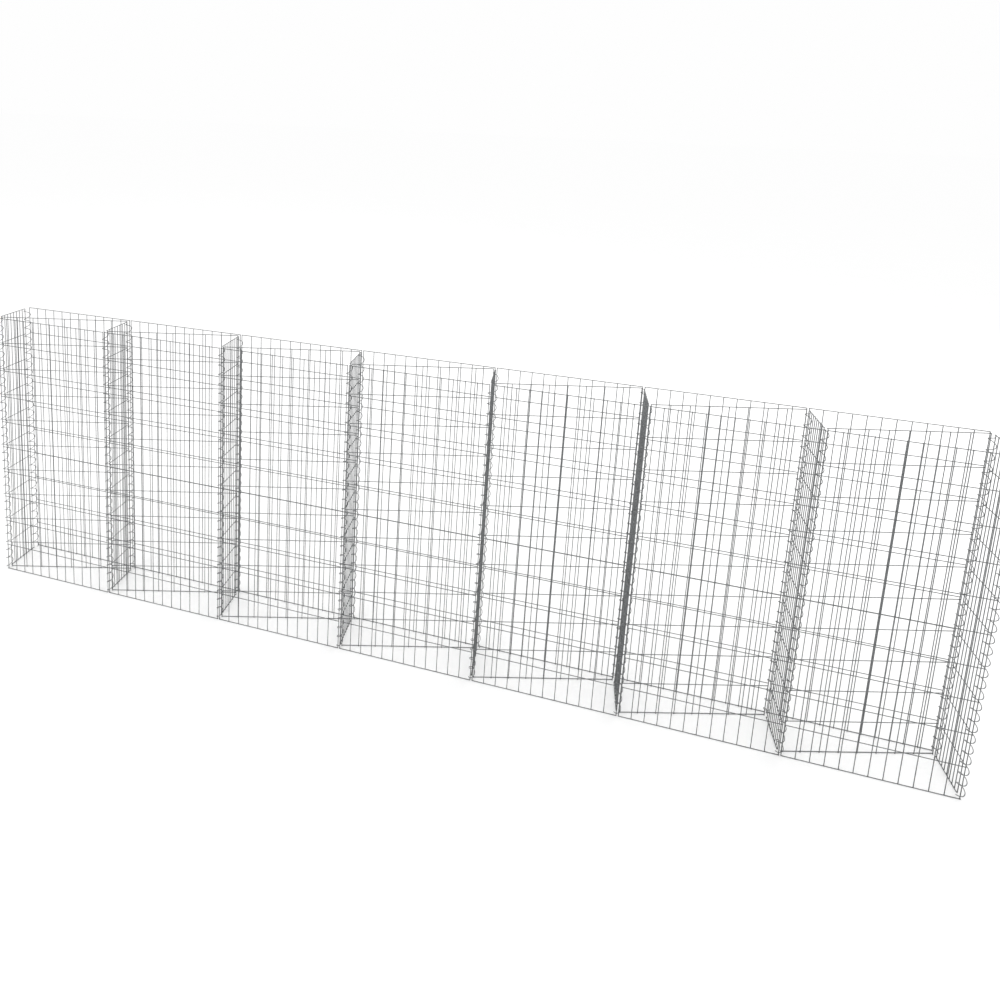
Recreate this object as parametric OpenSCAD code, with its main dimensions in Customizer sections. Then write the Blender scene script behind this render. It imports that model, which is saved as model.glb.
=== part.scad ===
// Gabion wall: a row of empty welded-mesh cages, laced together by steel coils at every corner.
// X runs along the wall, Y from front to back, Z up. The origin is at the middle of the footprint.

/* [Wall] */
// Length of one bay, from coil axis to coil axis
bay_pitch = 900; // [500:10:1300]
// Depth between the planes of the front and back panels
wall_depth = 300; // [200:10:600]
// Height of the panels
wall_height = 2000; // [1500:50:2400]

/* [Mesh panels] */
// Diameter of the mesh wire. Each wire is a six-sided bar as heavy as a round one of this diameter
mesh_wire_d = 4.5; // [3:0.5:6]
// Rows of openings in every panel
rows = 10; // [8:1:12]
// Openings across a front or back panel
long_columns = 12; // [4:1:16]
// Openings across a cross panel or a diagonal panel
short_columns = 8; // [3:1:10]
// Depth to which crossing wires melt into each other at a weld
weld_sink = 0.4; // [0.2:0.1:0.8]

/* [Corner coils] */
// Diameter of the coil wire
coil_wire_d = 4; // [2.5:0.5:5]
// Turns of a coil in the height of one row. Fewer turns make a wider coil
turns_per_row = 3; // [2:1:3]
// Clearance between a coil and the panel edges that it laces together
coil_seat = 0.3; // [0.2:0.1:0.6]
// Where the edges of two neighbouring panels sit in the oval of a coil: 90 is the outermost point
panel_edge_turn = 60; // [50:1:70]
// Where the edge of a diagonal panel sits in the oval of a coil: 0 is in line with the wall
diagonal_edge_turn = 15; // [0:1:20]

/* [Hidden] */

bays = 7;
zinc = [0.56, 0.57, 0.58];

// The bars lie with a corner towards each weld.
bar_sides = 6;
bar_corner_r = mesh_wire_d * sqrt(PI / (6 * sqrt(3)));
weld_offset = mesh_wire_d - weld_sink;
row_pitch = (wall_height - mesh_wire_d) / rows;

// A coil is a chain of half turns. Each is a half ring, tilted so that it climbs half the pitch
// and meets the next one square on. The coil is an oval, a little deeper along Y than along X.
// The tilt has an exact sine and cosine, so that each half turn ends just where the next one starts.
tilt_sine = 0.658944;
tilt_cosine = 0.752192;
coil_tilt = atan2(tilt_sine, tilt_cosine);
coil_facets = 24;
half_turn_r = round(1000 * row_pitch / turns_per_row / 4 / tilt_sine) / 1000;
half_turn_climb = 2 * half_turn_r * tilt_sine;
coil_half_width = half_turn_r * tilt_cosine;
half_turns = 2 * rows * turns_per_row - 1;

// Each coil starts a little over the lowest row wires, by this share of a half turn's climb.
// It then passes every level of row wires where there are none in its way.
start_share = 0.13;
coil_start = mesh_wire_d / 2 + start_share * half_turn_climb;

// Place of an edge wire that rests inside a coil, from the coil's axis.
// The turn is counted round the coil's oval, from +X through +Y.
seat_depth = coil_wire_d / 2 + bar_corner_r + coil_seat;
function edge_seat(turn) =
    let (slope = [half_turn_r * cos(turn), coil_half_width * sin(turn)])
    [coil_half_width * cos(turn), half_turn_r * sin(turn)] - seat_depth * slope / norm(slope);

panel_seat = edge_seat(panel_edge_turn);
cross_seat = edge_seat(90);
diagonal_seat = edge_seat(diagonal_edge_turn);
coil_axis_y = wall_depth / 2 - panel_seat.y;

// X of the coil axis at the left of bay k, for k from 1 to bays + 1.
function corner_x(k) = (k - 1 - bays / 2) * bay_pitch;

// One upright wire, standing on z = 0.
module upright(height) {
    rotate(180 / bar_sides)
        cylinder(h = height, r = bar_corner_r, $fn = bar_sides);
}

// One level wire along +X, with its axis on the X axis.
module level_wire(length) {
    rotate([0, 90, 0])
        rotate(180 / bar_sides)
            cylinder(h = length, r = bar_corner_r, $fn = bar_sides);
}

// A welded panel in the XZ plane. Its edge wires stand at x = 0 and x = span,
// and its row wires are welded to the +Y side of its uprights.
module welded_panel(span, columns) {
    for (i = [0 : columns])
        translate([i * span / columns, 0, 0])
            upright(wall_height);
    for (i = [0 : rows])
        translate([-mesh_wire_d / 2, weld_offset, mesh_wire_d / 2 + i * row_pitch])
            level_wire(span + mesh_wire_d);
}

// The panel across the front of bay k, with its row wires outside.
module front_panel(k) {
    color(zinc)
        translate([corner_x(k + 1) - panel_seat.x, -wall_depth / 2, 0])
            rotate(180)
                welded_panel(bay_pitch - 2 * panel_seat.x, long_columns);
}

// The panel across the back of bay k: the front one, turned round the middle of the wall.
module back_panel(k) {
    rotate(180)
        front_panel(bays + 1 - k);
}

// The panel that closes the left side of bay k, or the right end of the wall.
module cross_panel(k) {
    reach = coil_axis_y - cross_seat.y;
    color(zinc)
        translate([corner_x(k), -reach, 0])
            rotate(90)
                welded_panel(2 * reach, short_columns);
}

// The bracing panel of bay k, from its front left corner to its back right corner.
module diagonal_panel(k) {
    run = [bay_pitch, 2 * coil_axis_y] - 2 * diagonal_seat;
    color(zinc)
        translate([corner_x(k) + diagonal_seat.x, diagonal_seat.y - coil_axis_y, 0])
            rotate(atan2(run.y, run.x))
                welded_panel(norm(run), short_columns);
}

// Lifts a shape by a height that is given in three parts, so that none of its decimals is rounded off.
module lift(height) {
    whole = floor(height);
    thousandths = floor(1000 * (height - whole)) / 1000;
    translate([0, 0, whole])
        translate([0, 0, thousandths])
            translate([0, 0, height - whole - thousandths])
                children();
}

// Part of a half turn, which starts and ends level and square to the X axis.
module coil_arc(angle) {
    rotate([0, coil_tilt, 0])
        rotate_extrude(angle = angle, $fn = 2 * coil_facets)
            translate([half_turn_r, 0])
                circle(d = coil_wire_d, $fn = coil_facets);
}

// A coil on the Z axis, from just over the lowest row wire to just under the highest.
module coil() {
    for (i = [0 : half_turns])
        lift(coil_start + (i + 0.5) * half_turn_climb)
            rotate((i + 1) * 180)
                coil_arc(i < half_turns ? 180 : 90);
}

// The coil at the front corner k, for k from 1 to bays + 1.
module front_coil(k) {
    color(zinc)
        translate([corner_x(k), -coil_axis_y, 0])
            coil();
}

// The coil at the back corner k: a front one, turned round the middle of the wall.
module back_coil(k) {
    rotate(180)
        front_coil(bays + 2 - k);
}

front_panel(1);  // front_panel_1
front_panel(2);  // front_panel_2
front_panel(3);  // front_panel_3
front_panel(4);  // front_panel_4
front_panel(5);  // front_panel_5
front_panel(6);  // front_panel_6
front_panel(7);  // front_panel_7
back_panel(1);  // back_panel_1
back_panel(2);  // back_panel_2
back_panel(3);  // back_panel_3
back_panel(4);  // back_panel_4
back_panel(5);  // back_panel_5
back_panel(6);  // back_panel_6
back_panel(7);  // back_panel_7
cross_panel(1);  // end_panel_left
cross_panel(2);  // cross_panel_1
cross_panel(3);  // cross_panel_2
cross_panel(4);  // cross_panel_3
cross_panel(5);  // cross_panel_4
cross_panel(6);  // cross_panel_5
cross_panel(7);  // cross_panel_6
cross_panel(8);  // end_panel_right
diagonal_panel(1);  // diagonal_panel_1
diagonal_panel(2);  // diagonal_panel_2
diagonal_panel(3);  // diagonal_panel_3
diagonal_panel(4);  // diagonal_panel_4
diagonal_panel(5);  // diagonal_panel_5
diagonal_panel(6);  // diagonal_panel_6
diagonal_panel(7);  // diagonal_panel_7
front_coil(1);  // front_coil_1
front_coil(2);  // front_coil_2
front_coil(3);  // front_coil_3
front_coil(4);  // front_coil_4
front_coil(5);  // front_coil_5
front_coil(6);  // front_coil_6
front_coil(7);  // front_coil_7
front_coil(8);  // front_coil_8
back_coil(1);  // back_coil_1
back_coil(2);  // back_coil_2
back_coil(3);  // back_coil_3
back_coil(4);  // back_coil_4
back_coil(5);  // back_coil_5
back_coil(6);  // back_coil_6
back_coil(7);  // back_coil_7
back_coil(8);  // back_coil_8
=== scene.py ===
"""Looks of a gabion wall: seven empty cages of welded mesh, laced together by steel coils.

Lengths are in metres, except where a name ends in _mm. Places come from the boxes of the CAD nodes.
"""

import logging
import math
from dataclasses import dataclass, field
from enum import Enum

import bpy
import numpy as np
from mathutils import Matrix, Vector


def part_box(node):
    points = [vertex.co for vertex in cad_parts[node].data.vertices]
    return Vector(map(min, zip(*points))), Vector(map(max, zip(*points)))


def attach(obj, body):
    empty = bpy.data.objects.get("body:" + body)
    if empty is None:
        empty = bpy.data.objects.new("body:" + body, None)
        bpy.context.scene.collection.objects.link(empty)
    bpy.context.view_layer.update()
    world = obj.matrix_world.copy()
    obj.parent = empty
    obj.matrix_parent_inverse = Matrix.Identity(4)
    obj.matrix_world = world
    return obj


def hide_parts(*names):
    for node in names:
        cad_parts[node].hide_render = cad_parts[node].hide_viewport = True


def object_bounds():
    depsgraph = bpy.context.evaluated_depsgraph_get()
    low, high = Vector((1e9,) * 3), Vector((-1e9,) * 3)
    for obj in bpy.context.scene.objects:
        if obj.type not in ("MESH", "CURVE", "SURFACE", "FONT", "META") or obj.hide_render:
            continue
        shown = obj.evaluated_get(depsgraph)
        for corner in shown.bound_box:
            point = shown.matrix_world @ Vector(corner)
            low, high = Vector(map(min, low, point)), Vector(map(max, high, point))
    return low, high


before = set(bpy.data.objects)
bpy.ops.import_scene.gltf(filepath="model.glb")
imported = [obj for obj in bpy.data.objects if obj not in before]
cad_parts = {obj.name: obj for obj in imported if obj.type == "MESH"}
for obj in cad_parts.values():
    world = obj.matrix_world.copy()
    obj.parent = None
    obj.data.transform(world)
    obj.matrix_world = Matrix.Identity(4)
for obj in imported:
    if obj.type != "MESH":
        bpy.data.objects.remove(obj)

CAD_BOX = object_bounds()
MM = 0.001
BODY = "root"
RUN_ATTRIBUTE = "wire_run"
# A Mix node has sockets of the same name for each type of value, so its colours go by number.
MIX_COLOUR_A, MIX_COLOUR_B, MIX_COLOUR_OUT = 6, 7, 2
LOG = logging.getLogger("gabion_wall")


class Slot(Enum):
    """The record's material slots."""

    MESH_WIRE = "mesh_wire"
    COIL_WIRE = "coil_wire"


class Face(Enum):
    """The two long faces of the wall, by the way that they look along Y."""

    FRONT = -1
    BACK = 1


def linear_from_hex(code: str) -> tuple[float, float, float, float]:
    """Turns an sRGB hex colour into a linear one, by the sRGB standard's own curve.

    Args:
        code: The colour, such as "#8f9192".

    Returns:
        Red, green, blue and an alpha of 1.
    """
    channels = [int(code[i:i + 2], 16) / 255 for i in (1, 3, 5)]
    linear = [c / 12.92 if c <= 0.04045 else ((c + 0.055) / 1.055) ** 2.4 for c in channels]
    return (*linear, 1.0)


def add_node(
    tree: bpy.types.NodeTree, kind: str, settings: dict | None = None, links: dict | None = None
) -> bpy.types.Node:
    """Adds a shader node with its settings and links.

    Args:
        tree: The node tree of a material.
        kind: The node's type, such as "ShaderNodeMix".
        settings: A value for each property, by name, or for each input socket, by name or number.
        links: An output socket for each input socket, by name or number.

    Returns:
        The new node.
    """
    node = tree.nodes.new(kind)
    for key, value in (settings or {}).items():
        if isinstance(key, str) and hasattr(node, key):
            setattr(node, key, value)
        else:
            node.inputs[key].default_value = value
    for key, output in (links or {}).items():
        tree.links.new(output, node.inputs[key])
    return node


def empty_material(name: str) -> bpy.types.Material:
    """Makes a material without any nodes.

    Args:
        name: The material's name.

    Returns:
        The material, ready for its nodes.
    """
    material = bpy.data.materials.new(name)
    material.use_nodes = True
    material.node_tree.nodes.clear()
    return material


def linked_object(name: str, data: bpy.types.ID) -> bpy.types.Object:
    """Makes an object and links it to the scene.

    Args:
        name: The object's name.
        data: Its mesh, light or camera.

    Returns:
        The new object.
    """
    made = bpy.data.objects.new(name, data)
    bpy.context.scene.collection.objects.link(made)
    return made


def foot_middle() -> Vector:
    """Returns the middle of the wall's foot."""
    middle = (CAD_BOX[0] + CAD_BOX[1]) / 2
    return Vector((middle.x, middle.y, CAD_BOX[0].z))


@dataclass(frozen=True)
class WireFinish:
    """A metal finish on a wire. Its patterns lie along the wire, as if the wire were pulled straight.

    Attributes:
        name: The material's name.
        light: The colour of the brightest grains.
        dark: The colour of the dullest patches.
        grain_mm: Length of one grain or streak along the wire.
        grain_round_mm: Width of one grain or streak round the wire.
        patch_mm: Length of a duller or brighter stretch.
        roughness: The smallest and the largest roughness.
        bump_mm: Height of the surface's ripples.
    """

    name: str
    light: str
    dark: str
    grain_mm: float
    grain_round_mm: float
    patch_mm: float
    roughness: tuple[float, float]
    bump_mm: float

    # The patches' share of the brightness. The grains have the rest.
    PATCH_SHARE = 0.45
    PATCH_DETAIL = 3.0
    GRAIN_DETAIL = 4.0
    GRAIN_ROUGHNESS = 0.6
    BUMP_STRENGTH = 0.6

    def material(self) -> bpy.types.Material:
        """Makes the material.

        Returns:
            A metal with grains, duller stretches and fine ripples.
        """
        material = empty_material(self.name)
        tree = material.node_tree
        place = add_node(tree, "ShaderNodeAttribute", {"attribute_name": RUN_ATTRIBUTE})
        along, across = 1 / (self.grain_mm * MM), 1 / (self.grain_round_mm * MM)
        grain_place = add_node(
            tree, "ShaderNodeVectorMath", {"operation": "MULTIPLY", 1: (along, across, across)},
            {0: place.outputs["Vector"]},
        )
        brightness, ripple = self.grains(tree, grain_place.outputs["Vector"])
        patch = add_node(
            tree, "ShaderNodeTexNoise",
            {"Scale": 1 / (self.patch_mm * MM), "Detail": self.PATCH_DETAIL},
            {"Vector": place.outputs["Vector"]},
        )
        share = add_node(
            tree, "ShaderNodeMix", {"Factor": self.PATCH_SHARE},
            {"A": brightness, "B": patch.outputs["Fac"]},
        )
        colour = add_node(
            tree, "ShaderNodeMix",
            {
                "data_type": "RGBA",
                MIX_COLOUR_A: linear_from_hex(self.dark),
                MIX_COLOUR_B: linear_from_hex(self.light),
            },
            {0: share.outputs["Result"]},
        )
        rough = add_node(
            tree, "ShaderNodeMapRange",
            {"To Min": self.roughness[1], "To Max": self.roughness[0]},
            {"Value": share.outputs["Result"]},
        )
        bump = add_node(
            tree, "ShaderNodeBump",
            {"Strength": self.BUMP_STRENGTH, "Distance": self.bump_mm * MM},
            {"Height": ripple},
        )
        shader = add_node(
            tree, "ShaderNodeBsdfPrincipled", {"Metallic": 1.0},
            {
                "Base Color": colour.outputs[MIX_COLOUR_OUT],
                "Roughness": rough.outputs["Result"],
                "Normal": bump.outputs["Normal"],
            },
        )
        add_node(tree, "ShaderNodeOutputMaterial", None, {"Surface": shader.outputs["BSDF"]})
        return material

    def grains(
        self, tree: bpy.types.NodeTree, place: bpy.types.NodeSocket
    ) -> tuple[bpy.types.NodeSocket, bpy.types.NodeSocket]:
        """Draws the grains.

        Args:
            tree: The material's node tree.
            place: The place on the wire, in grains.

        Returns:
            The brightness of the grains and the height of the ripples, each from 0 to 1.
        """
        noise = add_node(
            tree, "ShaderNodeTexNoise",
            {"Scale": 1.0, "Detail": self.GRAIN_DETAIL, "Roughness": self.GRAIN_ROUGHNESS},
            {"Vector": place},
        )
        return noise.outputs["Fac"], noise.outputs["Fac"]


class SpangledZinc(WireFinish):
    """Hot-dip zinc: flat crystals of different brightness, which froze as the mesh left the bath."""

    RIPPLES_PER_CRYSTAL = 3.0
    RIPPLE_DETAIL = 3.0
    RIPPLE_ROUGHNESS = 0.55

    def grains(
        self, tree: bpy.types.NodeTree, place: bpy.types.NodeSocket
    ) -> tuple[bpy.types.NodeSocket, bpy.types.NodeSocket]:
        """Draws crystals with their own brightness, and the thin ripples of the run-off.

        Args:
            tree: The material's node tree.
            place: The place on the wire, in grains.

        Returns:
            The brightness of the crystals and the height of the ripples, each from 0 to 1.
        """
        crystal = add_node(tree, "ShaderNodeTexVoronoi", {"Scale": 1.0}, {"Vector": place})
        brightness = add_node(
            tree, "ShaderNodeSeparateColor", None, {"Color": crystal.outputs["Color"]}
        )
        ripple = add_node(
            tree, "ShaderNodeTexNoise",
            {
                "Scale": self.RIPPLES_PER_CRYSTAL,
                "Detail": self.RIPPLE_DETAIL,
                "Roughness": self.RIPPLE_ROUGHNESS,
            },
            {"Vector": place},
        )
        return brightness.outputs["Red"], ripple.outputs["Fac"]


# The mesh is welded from drawn mild steel wire and dipped in zinc. The crystals on thin wire are about
# 6 mm long, and the coat is satin grey, brighter where the zinc ran off thick.
DIPPED_ZINC = SpangledZinc(
    name="hot_dip_galvanised_wire", light="#8f9192", dark="#4e5051", grain_mm=6.0,
    grain_round_mm=3.0, patch_mm=140.0, roughness=(0.34, 0.55), bump_mm=0.12,
)
# The coils are hard-drawn spring wire with an even coat of zinc. The die leaves fine streaks along
# the wire, about 0.2 mm wide, which are drawn 0.8 mm wide here so that they show.
DRAWN_SPRING_WIRE = WireFinish(
    name="zinc_coated_spring_wire", light="#979899", dark="#4b4d4e", grain_mm=45.0,
    grain_round_mm=0.8, patch_mm=90.0, roughness=(0.28, 0.44), bump_mm=0.05,
)
# A resistance weld squeezes out a small bead, which takes the zinc unevenly and stays dull and grainy.
WELD_BEAD = WireFinish(
    name="zinc_coated_weld_bead", light="#747576", dark="#3f4041", grain_mm=1.2,
    grain_round_mm=1.2, patch_mm=4.0, roughness=(0.5, 0.72), bump_mm=0.15,
)
# The wires are sheared to length after the dip, so their ends are bare steel with shear marks.
SHEARED_STEEL = WireFinish(
    name="sheared_steel_end", light="#807f7d", dark="#454341", grain_mm=1.0,
    grain_round_mm=0.4, patch_mm=3.0, roughness=(0.42, 0.62), bump_mm=0.08,
)


@dataclass
class WireBundle:
    """Collects wires as one mesh: smooth round tubes with bevelled, cut ends.

    Attributes:
        radius: Radius of the wire.
        sides: Sides of the tube.
        bevel: Size of the bevel on a cut end.
        points: The points of each wire.
        runs: The same points, as if each wire lay straight along X.
        walls: The corners of each wire's round faces.
        caps: The corners of each wire's two cut ends.
        count: How many points there are in all.
    """

    radius: float
    sides: int = 12
    bevel: float = 0.35 * MM
    points: list[np.ndarray] = field(default_factory=list)
    runs: list[np.ndarray] = field(default_factory=list)
    walls: list[np.ndarray] = field(default_factory=list)
    caps: list[np.ndarray] = field(default_factory=list)
    count: int = 0

    # The patterns of one bundle's wires start this far apart, so that no two of them look alike.
    RUN_STEP = 3.7

    def add(self, centres: np.ndarray, normals: np.ndarray, shares: np.ndarray) -> None:
        """Adds a wire through a row of centres.

        Args:
            centres: The centre of each ring of the tube.
            normals: A unit vector square to the wire at each ring.
            shares: The radius of each ring as a share of the wire's.
        """
        steps = np.diff(centres, axis=0)
        lengths = np.linalg.norm(steps, axis=1)
        along = np.concatenate([[0.0], np.cumsum(lengths)]) + self.RUN_STEP * len(self.points)
        tangents = np.vstack([steps[:1], steps[1:] + steps[:-1], steps[-1:]])
        tangents /= np.linalg.norm(tangents, axis=1, keepdims=True)
        sideways = np.cross(tangents, normals)
        turn = 2 * math.pi * np.arange(self.sides) / self.sides
        cos, sin = np.cos(turn)[None, :, None], np.sin(turn)[None, :, None]
        reach = (self.radius * shares)[:, None, None]
        rings = centres[:, None] + reach * (normals[:, None] * cos + sideways[:, None] * sin)
        run = np.empty_like(rings)
        run[..., 0] = along[:, None]
        run[..., 1] = reach[..., 0] * cos[..., 0]
        run[..., 2] = reach[..., 0] * sin[..., 0]
        self.points.append(rings.reshape(-1, 3))
        self.runs.append(run.reshape(-1, 3))
        self.walls.append(self.ring_faces(len(centres)) + self.count)
        first = np.arange(self.sides)
        last = first + (len(centres) - 1) * self.sides
        self.caps.append(np.stack([first[::-1], last]) + self.count)
        self.count += len(centres) * self.sides

    def ring_faces(self, rings: int) -> np.ndarray:
        """Joins the rings of one tube.

        Args:
            rings: How many rings the tube has.

        Returns:
            The four corners of every face between them.
        """
        ring = np.arange(rings - 1)[:, None] * self.sides
        side = np.arange(self.sides)
        corner = (ring + side).ravel()
        after = (ring + (side + 1) % self.sides).ravel()
        return np.stack([corner, after, after + self.sides, corner + self.sides], axis=1)

    def straight(self, start: Vector, end: Vector, normal: Vector) -> None:
        """Adds a straight wire.

        Args:
            start: The centre of one cut end.
            end: The centre of the other.
            normal: A unit vector square to the wire.
        """
        way = (end - start).normalized()
        stops = [start, start + way * self.bevel, end - way * self.bevel, end]
        shoulder = 1 - self.bevel / self.radius
        self.add(
            np.array(stops), np.tile(np.array(normal), (len(stops), 1)), np.array([shoulder, 1, 1, shoulder])
        )

    def piece(self, name: str, finish: bpy.types.Material, cut: bpy.types.Material) -> bpy.types.Object:
        """Makes the mesh object of all the wires.

        Args:
            name: The piece's name.
            finish: The material of the wires.
            cut: The material of their cut ends.

        Returns:
            The object, in the scene.
        """
        walls, caps = np.vstack(self.walls), np.vstack(self.caps)
        sizes = np.concatenate([np.full(len(walls), 4), np.full(len(caps), self.sides)])
        mesh = mesh_from(np.vstack(self.points), [walls, caps], sizes)
        is_cap = np.arange(len(sizes)) >= len(walls)
        mesh.polygons.foreach_set("use_smooth", ~is_cap)
        mesh.materials.append(finish)
        mesh.materials.append(cut)
        mesh.polygons.foreach_set("material_index", is_cap.astype(np.int32))
        store_runs(mesh, np.vstack(self.runs))
        return placed(name, mesh)


def mesh_from(points: np.ndarray, faces: list[np.ndarray], sizes: np.ndarray) -> bpy.types.Mesh:
    """Makes a mesh from arrays.

    Args:
        points: The corner points.
        faces: The faces' corners, one array for each number of corners.
        sizes: The number of corners of every face, in order.

    Returns:
        The mesh.
    """
    loops = np.concatenate([group.ravel() for group in faces])
    mesh = bpy.data.meshes.new("mesh")
    mesh.vertices.add(len(points))
    mesh.vertices.foreach_set("co", points.astype(np.float32).ravel())
    mesh.loops.add(len(loops))
    mesh.loops.foreach_set("vertex_index", loops.astype(np.int32))
    mesh.polygons.add(len(sizes))
    starts = np.concatenate([[0], np.cumsum(sizes)[:-1]])
    mesh.polygons.foreach_set("loop_start", starts.astype(np.int32))
    mesh.update(calc_edges=True)
    return mesh


def store_runs(mesh: bpy.types.Mesh, runs: np.ndarray) -> None:
    """Stores each point's place on its wire, as if the wire lay straight along X.

    Args:
        mesh: The mesh.
        runs: The place of every point.
    """
    attribute = mesh.attributes.new(RUN_ATTRIBUTE, "FLOAT_VECTOR", "POINT")
    attribute.data.foreach_set("vector", runs.astype(np.float32).ravel())


def placed(name: str, mesh: bpy.types.Mesh) -> bpy.types.Object:
    """Puts a mesh into the scene, riding on the wall's one body.

    Args:
        name: The piece's name.
        mesh: Its mesh, in the frame's own coordinates.

    Returns:
        The new object.
    """
    mesh.name = name
    mesh.validate()
    piece = linked_object(name, mesh)
    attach(piece, BODY)
    return piece


@dataclass(frozen=True)
class Finishes:
    """The materials that the pieces share.

    Attributes:
        mesh_wire: The wires of the mesh panels.
        coil_wire: The coils.
        weld: The beads at the crossings.
        cut_end: The ends of every wire.
    """

    mesh_wire: bpy.types.Material
    coil_wire: bpy.types.Material
    weld: bpy.types.Material
    cut_end: bpy.types.Material

    @classmethod
    def made(cls) -> "Finishes":
        """Returns the finishes, each made once."""
        return cls(
            DIPPED_ZINC.material(), DRAWN_SPRING_WIRE.material(), WELD_BEAD.material(),
            SHEARED_STEEL.material(),
        )


@dataclass
class MeshPanel:
    """A panel of welded mesh: uprights, row wires on one side of them, and a weld at each crossing.

    Attributes:
        node: The CAD node that the panel stands for.
        start: The place of the first edge wire, at height 0.
        end: The place of the other edge wire, at height 0.
        rows_side: A unit vector from the uprights towards the row wires.
        columns: Openings across the panel.
        foot: Height of the uprights' lower ends.
        top: Height of the uprights' upper ends.
        wire_d: Diameter of the wires.
        weld_sink: How far a row wire is pressed into the uprights at its welds.
        rows: Openings up the panel.
    """

    node: str
    start: Vector
    end: Vector
    rows_side: Vector
    columns: int
    foot: float
    top: float
    wire_d: float
    weld_sink: float = 0.4 * MM
    rows: int = 10

    # Half sizes of a weld bead along the row wire, out of the panel and along the upright.
    BEAD = (2.3 * MM, 1.25 * MM, 2.3 * MM)
    BEAD_SIDES = 8
    BEAD_RINGS = 3
    # A bead's size varies by this share from weld to weld.
    BEAD_SPREAD = 0.12
    # The beads' patterns start this far apart.
    BEAD_RUN_STEP = WireBundle.RUN_STEP * MM

    def column_places(self) -> list[Vector]:
        """Returns the place of every upright, at height 0."""
        return [self.start.lerp(self.end, i / self.columns) for i in range(self.columns + 1)]

    def row_heights(self) -> list[float]:
        """Returns the height of every row wire's axis."""
        low, high = self.foot + self.wire_d / 2, self.top - self.wire_d / 2
        return [low + (high - low) * i / self.rows for i in range(self.rows + 1)]

    def wires(self, finishes: Finishes) -> bpy.types.Object:
        """Builds the panel's wires.

        Args:
            finishes: The shared materials.

        Returns:
            The piece that stands for the CAD node.
        """
        bundle = WireBundle(self.wire_d / 2)
        way = (self.end - self.start).normalized()
        for place in self.column_places():
            foot, top = place.copy(), place.copy()
            foot.z, top.z = self.foot, self.top
            bundle.straight(foot, top, self.rows_side)
        offset = self.rows_side * (self.wire_d - self.weld_sink)
        for height in self.row_heights():
            lift = Vector((0, 0, height))
            overrun = way * self.wire_d / 2
            bundle.straight(
                self.start + offset + lift - overrun, self.end + offset + lift + overrun, self.rows_side
            )
        piece = bundle.piece(f"{self.node}_wires", finishes.mesh_wire, finishes.cut_end)
        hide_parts(self.node)
        return piece

    def bead_form(self) -> tuple[np.ndarray, np.ndarray, np.ndarray]:
        """Makes the form of one bead, of unit size.

        Returns:
            Its points, its end triangles and its four-cornered faces.
        """
        sides = self.BEAD_SIDES
        points = [[0.0, 0.0, -1.0]]
        for i in range(1, self.BEAD_RINGS + 1):
            rise = math.pi * (i / (self.BEAD_RINGS + 1) - 0.5)
            level, height = math.cos(rise), math.sin(rise)
            for angle in 2 * math.pi * np.arange(sides) / sides:
                points.append([level * math.cos(angle), level * math.sin(angle), height])
        points.append([0.0, 0.0, 1.0])
        top = len(points) - 1
        ring = np.arange(sides)
        after = (ring + 1) % sides
        low = np.stack([np.zeros(sides, int), 1 + after, 1 + ring], axis=1)
        last = 1 + (self.BEAD_RINGS - 1) * sides
        high = np.stack([np.full(sides, top), last + ring, last + after], axis=1)
        bands = []
        for i in range(self.BEAD_RINGS - 1):
            below = 1 + i * sides
            above = below + sides
            bands.append(np.stack([below + ring, below + after, above + after, above + ring], axis=1))
        return np.array(points), np.vstack([low, high]), np.vstack(bands)

    def welds(self, finishes: Finishes, rng: np.random.Generator) -> bpy.types.Object:
        """Builds the weld beads, one at each crossing.

        Args:
            finishes: The shared materials.
            rng: The seeded source of the small differences between welds.

        Returns:
            The piece.
        """
        form, ends, bands = self.bead_form()
        way = np.array((self.end - self.start).normalized())
        out = np.array(self.rows_side)
        # Right-handed on every panel, so that each bead's faces look outwards.
        axes = np.stack([way, np.cross([0.0, 0.0, 1.0], way), [0.0, 0.0, 1.0]])
        middle = out * (self.wire_d - self.weld_sink) / 2
        points, triangles, quads, runs = [], [], [], []
        for place in self.column_places():
            for height in self.row_heights():
                size = np.array(self.BEAD) * rng.uniform(1 - self.BEAD_SPREAD, 1 + self.BEAD_SPREAD, 3)
                shape = (form * size) @ axes
                centre = np.array([place.x, place.y, height]) + middle
                shape += centre
                shape[:, 2] = np.clip(shape[:, 2], self.foot, self.top)
                base = len(points) * len(form)
                triangles.append(ends + base)
                quads.append(bands + base)
                points.append(shape)
                runs.append(form * size + [len(points) * self.BEAD_RUN_STEP, 0, 0])
        triangles, quads = np.vstack(triangles), np.vstack(quads)
        sizes = np.concatenate([np.full(len(triangles), 3), np.full(len(quads), 4)])
        mesh = mesh_from(np.vstack(points), [triangles, quads], sizes)
        mesh.polygons.foreach_set("use_smooth", np.ones(len(sizes), bool))
        mesh.materials.append(finishes.weld)
        store_runs(mesh, np.vstack(runs))
        piece = placed(f"{self.node}_welds", mesh)
        return piece


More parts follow.
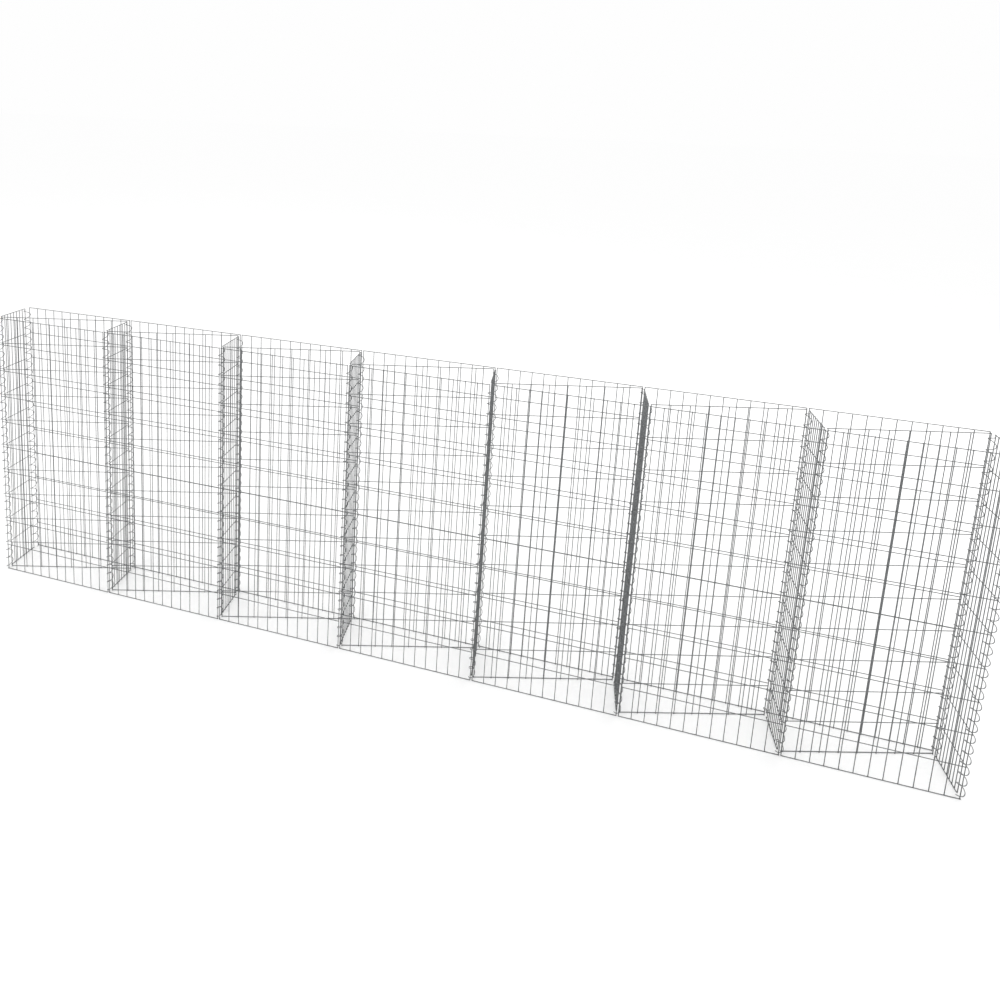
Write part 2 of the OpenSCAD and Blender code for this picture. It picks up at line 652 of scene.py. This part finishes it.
@dataclass
class LacingCoil:
    """A coil of spring wire round the corner wires of the panels that meet there.

    Attributes:
        node: The CAD node that the coil stands for.
        face: The face of the wall on which the coil stands.
        wire_d: Diameter of the wire.
        pitch: Height of one turn.
        turns: Number of turns.
        first_rise: Height of the wire's axis at its lower end.
        rings_per_turn: Rings of the tube in one turn.
        sides: Sides of the tube.
    """

    node: str
    face: Face
    wire_d: float = 4.0 * MM
    pitch: float = 66.516 * MM
    turns: float = 29.75
    first_rise: float = 6.57 * MM
    rings_per_turn: int = 24
    sides: int = 10

    def build(self, finishes: Finishes) -> bpy.types.Object:
        """Builds the coil.

        Args:
            finishes: The shared materials.

        Returns:
            The piece that stands for the CAD node.
        """
        low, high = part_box(self.node)
        axis = (low + high) / 2
        reach = (high - low) / 2 - Vector((self.wire_d, self.wire_d, 0)) / 2
        turn = np.linspace(0, 2 * math.pi * self.turns, round(self.turns * self.rings_per_turn) + 1)
        # A front coil starts on its left side and a back coil, which is turned round, on its right.
        start = math.pi if self.face is Face.FRONT else 0.0
        cos, sin = np.cos(turn + start), np.sin(turn + start)
        rise = self.first_rise + self.pitch * turn / (2 * math.pi)
        centres = np.stack([axis.x + reach.x * cos, axis.y + reach.y * sin, rise], axis=1)
        outward = np.stack([reach.y * cos, reach.x * sin, np.zeros_like(turn)], axis=1)
        outward /= np.linalg.norm(outward, axis=1, keepdims=True)
        bundle = WireBundle(self.wire_d / 2, self.sides)
        shares = np.ones(len(turn))
        shares[[0, -1]] = 1 - bundle.bevel / bundle.radius
        bundle.add(centres, outward, shares)
        piece = bundle.piece(f"{self.node}_wire", finishes.coil_wire, finishes.cut_end)
        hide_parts(self.node)
        return piece


@dataclass
class GabionWall:
    """The whole wall: bays of mesh panels, and a coil at every corner.

    Attributes:
        bays: Number of cages.
        long_columns: Openings across a front or back panel.
        short_columns: Openings across a cross panel or a diagonal panel.
        wire_d: Diameter of the mesh wires.
        bar_reach: How far the corners of the CAD model's bars stand from their axes.
        diagonal_start: How far a diagonal panel starts inside its box, along X and along Y.
        diagonal_end: How far it ends inside its box, along X and along Y.
        seed: The seed of the small differences between welds.
    """

    bays: int = 7
    long_columns: int = 12
    short_columns: int = 8
    wire_d: float = 4.5 * MM
    bar_reach: float = 2.474 * MM
    diagonal_start: tuple[float, float] = (3.99 * MM, 2.38 * MM)
    diagonal_end: tuple[float, float] = (2.40 * MM, 6.94 * MM)
    seed: int = 20

    def long_panel(self, node: str, face: Face) -> MeshPanel:
        """Places a front or back panel.

        Args:
            node: Its CAD node.
            face: The face of the wall that it closes.

        Returns:
            The panel, with its row wires outside.
        """
        low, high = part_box(node)
        plane = high.y - self.bar_reach if face is Face.FRONT else low.y + self.bar_reach
        left, right = low.x + self.wire_d / 2, high.x - self.wire_d / 2
        side = Vector((0, face.value, 0))
        ends = Vector((left, plane, 0)), Vector((right, plane, 0))
        return MeshPanel(node, *ends, side, self.long_columns, low.z, high.z, self.wire_d)

    def cross_panel(self, node: str) -> MeshPanel:
        """Places a cross panel.

        Args:
            node: Its CAD node.

        Returns:
            The panel, with its row wires on the left.
        """
        low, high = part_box(node)
        plane = high.x - self.bar_reach
        near, far = low.y + self.wire_d / 2, high.y - self.wire_d / 2
        side = Vector((-1, 0, 0))
        ends = Vector((plane, near, 0)), Vector((plane, far, 0))
        return MeshPanel(node, *ends, side, self.short_columns, low.z, high.z, self.wire_d)

    def diagonal_panel(self, node: str) -> MeshPanel:
        """Places a diagonal panel, from a front left corner to a back right corner.

        Args:
            node: Its CAD node.

        Returns:
            The panel, with its row wires towards the back left.
        """
        low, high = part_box(node)
        start = Vector((low.x + self.diagonal_start[0], low.y + self.diagonal_start[1], 0))
        end = Vector((high.x - self.diagonal_end[0], high.y - self.diagonal_end[1], 0))
        side = Matrix.Rotation(math.pi / 2, 3, "Z") @ (end - start).normalized()
        return MeshPanel(node, start, end, side, self.short_columns, low.z, high.z, self.wire_d)

    def panels(self) -> list[MeshPanel]:
        """Places the mesh panels.

        Returns:
            The front panels, the back panels, the cross panels and the diagonal panels.
        """
        numbers = range(1, self.bays + 1)
        made = [self.long_panel(f"front_panel_{k}", Face.FRONT) for k in numbers]
        made += [self.long_panel(f"back_panel_{k}", Face.BACK) for k in numbers]
        made.append(self.cross_panel("end_panel_left"))
        made += [self.cross_panel(f"cross_panel_{k}") for k in range(1, self.bays)]
        made.append(self.cross_panel("end_panel_right"))
        made += [self.diagonal_panel(f"diagonal_panel_{k}") for k in numbers]
        return made

    def coils(self) -> list[LacingCoil]:
        """Places the coils.

        Returns:
            The front coils and then the back coils.
        """
        numbers = range(1, self.bays + 2)
        made = [LacingCoil(f"front_coil_{k}", Face.FRONT) for k in numbers]
        made += [LacingCoil(f"back_coil_{k}", Face.BACK) for k in numbers]
        return made

    def build(self, finishes: Finishes) -> list[bpy.types.Object]:
        """Builds every piece of the wall.

        Args:
            finishes: The shared materials.

        Returns:
            The pieces.
        """
        rng = np.random.default_rng(self.seed)
        pieces = []
        for panel in self.panels():
            pieces += [panel.wires(finishes), panel.welds(finishes, rng)]
        pieces += [coil.build(finishes) for coil in self.coils()]
        return pieces


@dataclass(frozen=True)
class PaleFloor:
    """A plain matt floor, as painted studio board: an even white with a very faint mottle.

    Attributes:
        light: The brightest colour.
        dark: The other colour of the mottle.
        mottle_mm: Length of one patch of the mottle.
        half_size: How far the floor reaches from the middle of the frame.
        segments: Faces along one side.
    """

    light: str = "#ffffff"
    dark: str = "#fefefe"
    mottle_mm: float = 900.0
    half_size: float = 400.0
    segments: int = 12

    MOTTLE_DETAIL = 2.0

    def material(self) -> bpy.types.Material:
        """Makes the material.

        Returns:
            A matt white without any gloss.
        """
        material = empty_material("matt_studio_board")
        tree = material.node_tree
        place = add_node(tree, "ShaderNodeTexCoord")
        mottle = add_node(
            tree, "ShaderNodeTexNoise",
            {"Scale": 1 / (self.mottle_mm * MM), "Detail": self.MOTTLE_DETAIL},
            {"Vector": place.outputs["Object"]},
        )
        colour = add_node(
            tree, "ShaderNodeMix",
            {
                "data_type": "RGBA",
                MIX_COLOUR_A: linear_from_hex(self.dark),
                MIX_COLOUR_B: linear_from_hex(self.light),
            },
            {0: mottle.outputs["Fac"]},
        )
        shader = add_node(
            tree, "ShaderNodeBsdfPrincipled", {"Roughness": 1.0, "Specular IOR Level": 0.0},
            {"Base Color": colour.outputs[MIX_COLOUR_OUT]},
        )
        add_node(tree, "ShaderNodeOutputMaterial", None, {"Surface": shader.outputs["BSDF"]})
        return material

    def build(self) -> None:
        """Builds the floor."""
        edges = np.linspace(-self.half_size, self.half_size, self.segments + 1)
        x, y = np.meshgrid(edges, edges)
        points = np.stack([x.ravel(), y.ravel(), np.full(x.size, CAD_BOX[0].z)], axis=1)
        cell = np.arange(self.segments)
        corner = (cell[:, None] * (self.segments + 1) + cell).ravel()
        up = corner + self.segments + 1
        quads = np.stack([corner, corner + 1, up + 1, up], axis=1)
        mesh = mesh_from(points, [quads], np.full(len(quads), 4))
        mesh.materials.append(self.material())
        linked_object("studio_floor", mesh)


@dataclass(frozen=True)
class SoftBox:
    """A square soft box, turned towards the middle of the wall.

    Attributes:
        place: Where it hangs, from the middle of the wall's foot.
        watts: Its power.
        side: Length of its side.
    """

    place: tuple[float, float, float]
    watts: float
    side: float = 9.0

    def build(self, name: str) -> None:
        """Adds the soft box.

        Args:
            name: Its name.
        """
        light = bpy.data.lights.new(name, "AREA")
        light.shape = "SQUARE"
        light.size = self.side
        light.energy = self.watts
        lamp = linked_object(name, light)
        lamp.location = foot_middle() + Vector(self.place)
        lamp.rotation_mode = "QUATERNION"
        aim = (CAD_BOX[0] + CAD_BOX[1]) / 2
        lamp.rotation_quaternion = (aim - lamp.location).to_track_quat("-Z", "Y")


@dataclass(frozen=True)
class Studio:
    """Soft, even light from all round, with a large soft box over each long side.

    Attributes:
        sky: The colour all round.
        sky_strength: Its brightness.
        boxes: The soft boxes.
    """

    sky: str = "#fefefe"
    sky_strength: float = 1.0
    boxes: tuple[SoftBox, ...] = (
        SoftBox(place=(-5.0, -8.0, 9.0), watts=420.0),
        SoftBox(place=(6.0, 7.0, 8.0), watts=260.0),
    )

    def build(self) -> None:
        """Sets the world and adds the lights."""
        scene = bpy.context.scene
        world = bpy.data.worlds.new("studio_world")
        world.use_nodes = True
        background = world.node_tree.nodes["Background"]
        background.inputs["Color"].default_value = linear_from_hex(self.sky)
        background.inputs["Strength"].default_value = self.sky_strength
        scene.world = world
        scene.view_settings.view_transform = "Standard"
        for number, box in enumerate(self.boxes, start=1):
            box.build(f"soft_box_{number}")


@dataclass(frozen=True)
class WallCamera:
    """The camera, over head height in front of the wall's right half and turned towards its left end.

    Attributes:
        place: Where it stands, from the middle of the wall's foot.
        heading: The way that it looks, in degrees from +Y towards -X.
        dip: The way that it looks down, in degrees.
        roll: How far it leans, in degrees.
        lens_mm: Its focal length.
        sensor_mm: Width of its sensor.
        shift: How far the picture is shifted, across and up, as a share of the sensor's width.
    """

    place: tuple[float, float, float] = (0.798, -4.095, 3.52)
    heading: float = 14.29
    dip: float = 8.5
    roll: float = 2.5
    lens_mm: float = 24.48
    sensor_mm: float = 36.0
    shift: tuple[float, float] = (0.108, -0.274)

    def build(self) -> None:
        """Adds the camera and makes it the scene's own."""
        data = bpy.data.cameras.new("wall_camera")
        data.lens = self.lens_mm
        data.sensor_width = self.sensor_mm
        data.shift_x, data.shift_y = self.shift
        camera = linked_object("wall_camera", data)
        turn = Matrix.Rotation(math.radians(self.heading), 4, "Z")
        tilt = Matrix.Rotation(math.radians(90 - self.dip), 4, "X")
        lean = Matrix.Rotation(math.radians(self.roll), 4, "Z")
        stand = Matrix.Translation(foot_middle() + Vector(self.place))
        camera.matrix_world = stand @ turn @ tilt @ lean
        bpy.context.scene.camera = camera


def main() -> None:
    """Builds the wall, the floor, the light and the camera, and reports each piece."""
    logging.basicConfig(level=logging.INFO, format="%(name)s: %(message)s")
    for piece in GabionWall().build(Finishes.made()):
        LOG.info("%s: %d faces", piece.name, len(piece.data.polygons))
    PaleFloor().build()
    Studio().build()
    WallCamera().build()
    bpy.context.view_layer.update()


if __name__ == "__main__":
    main()
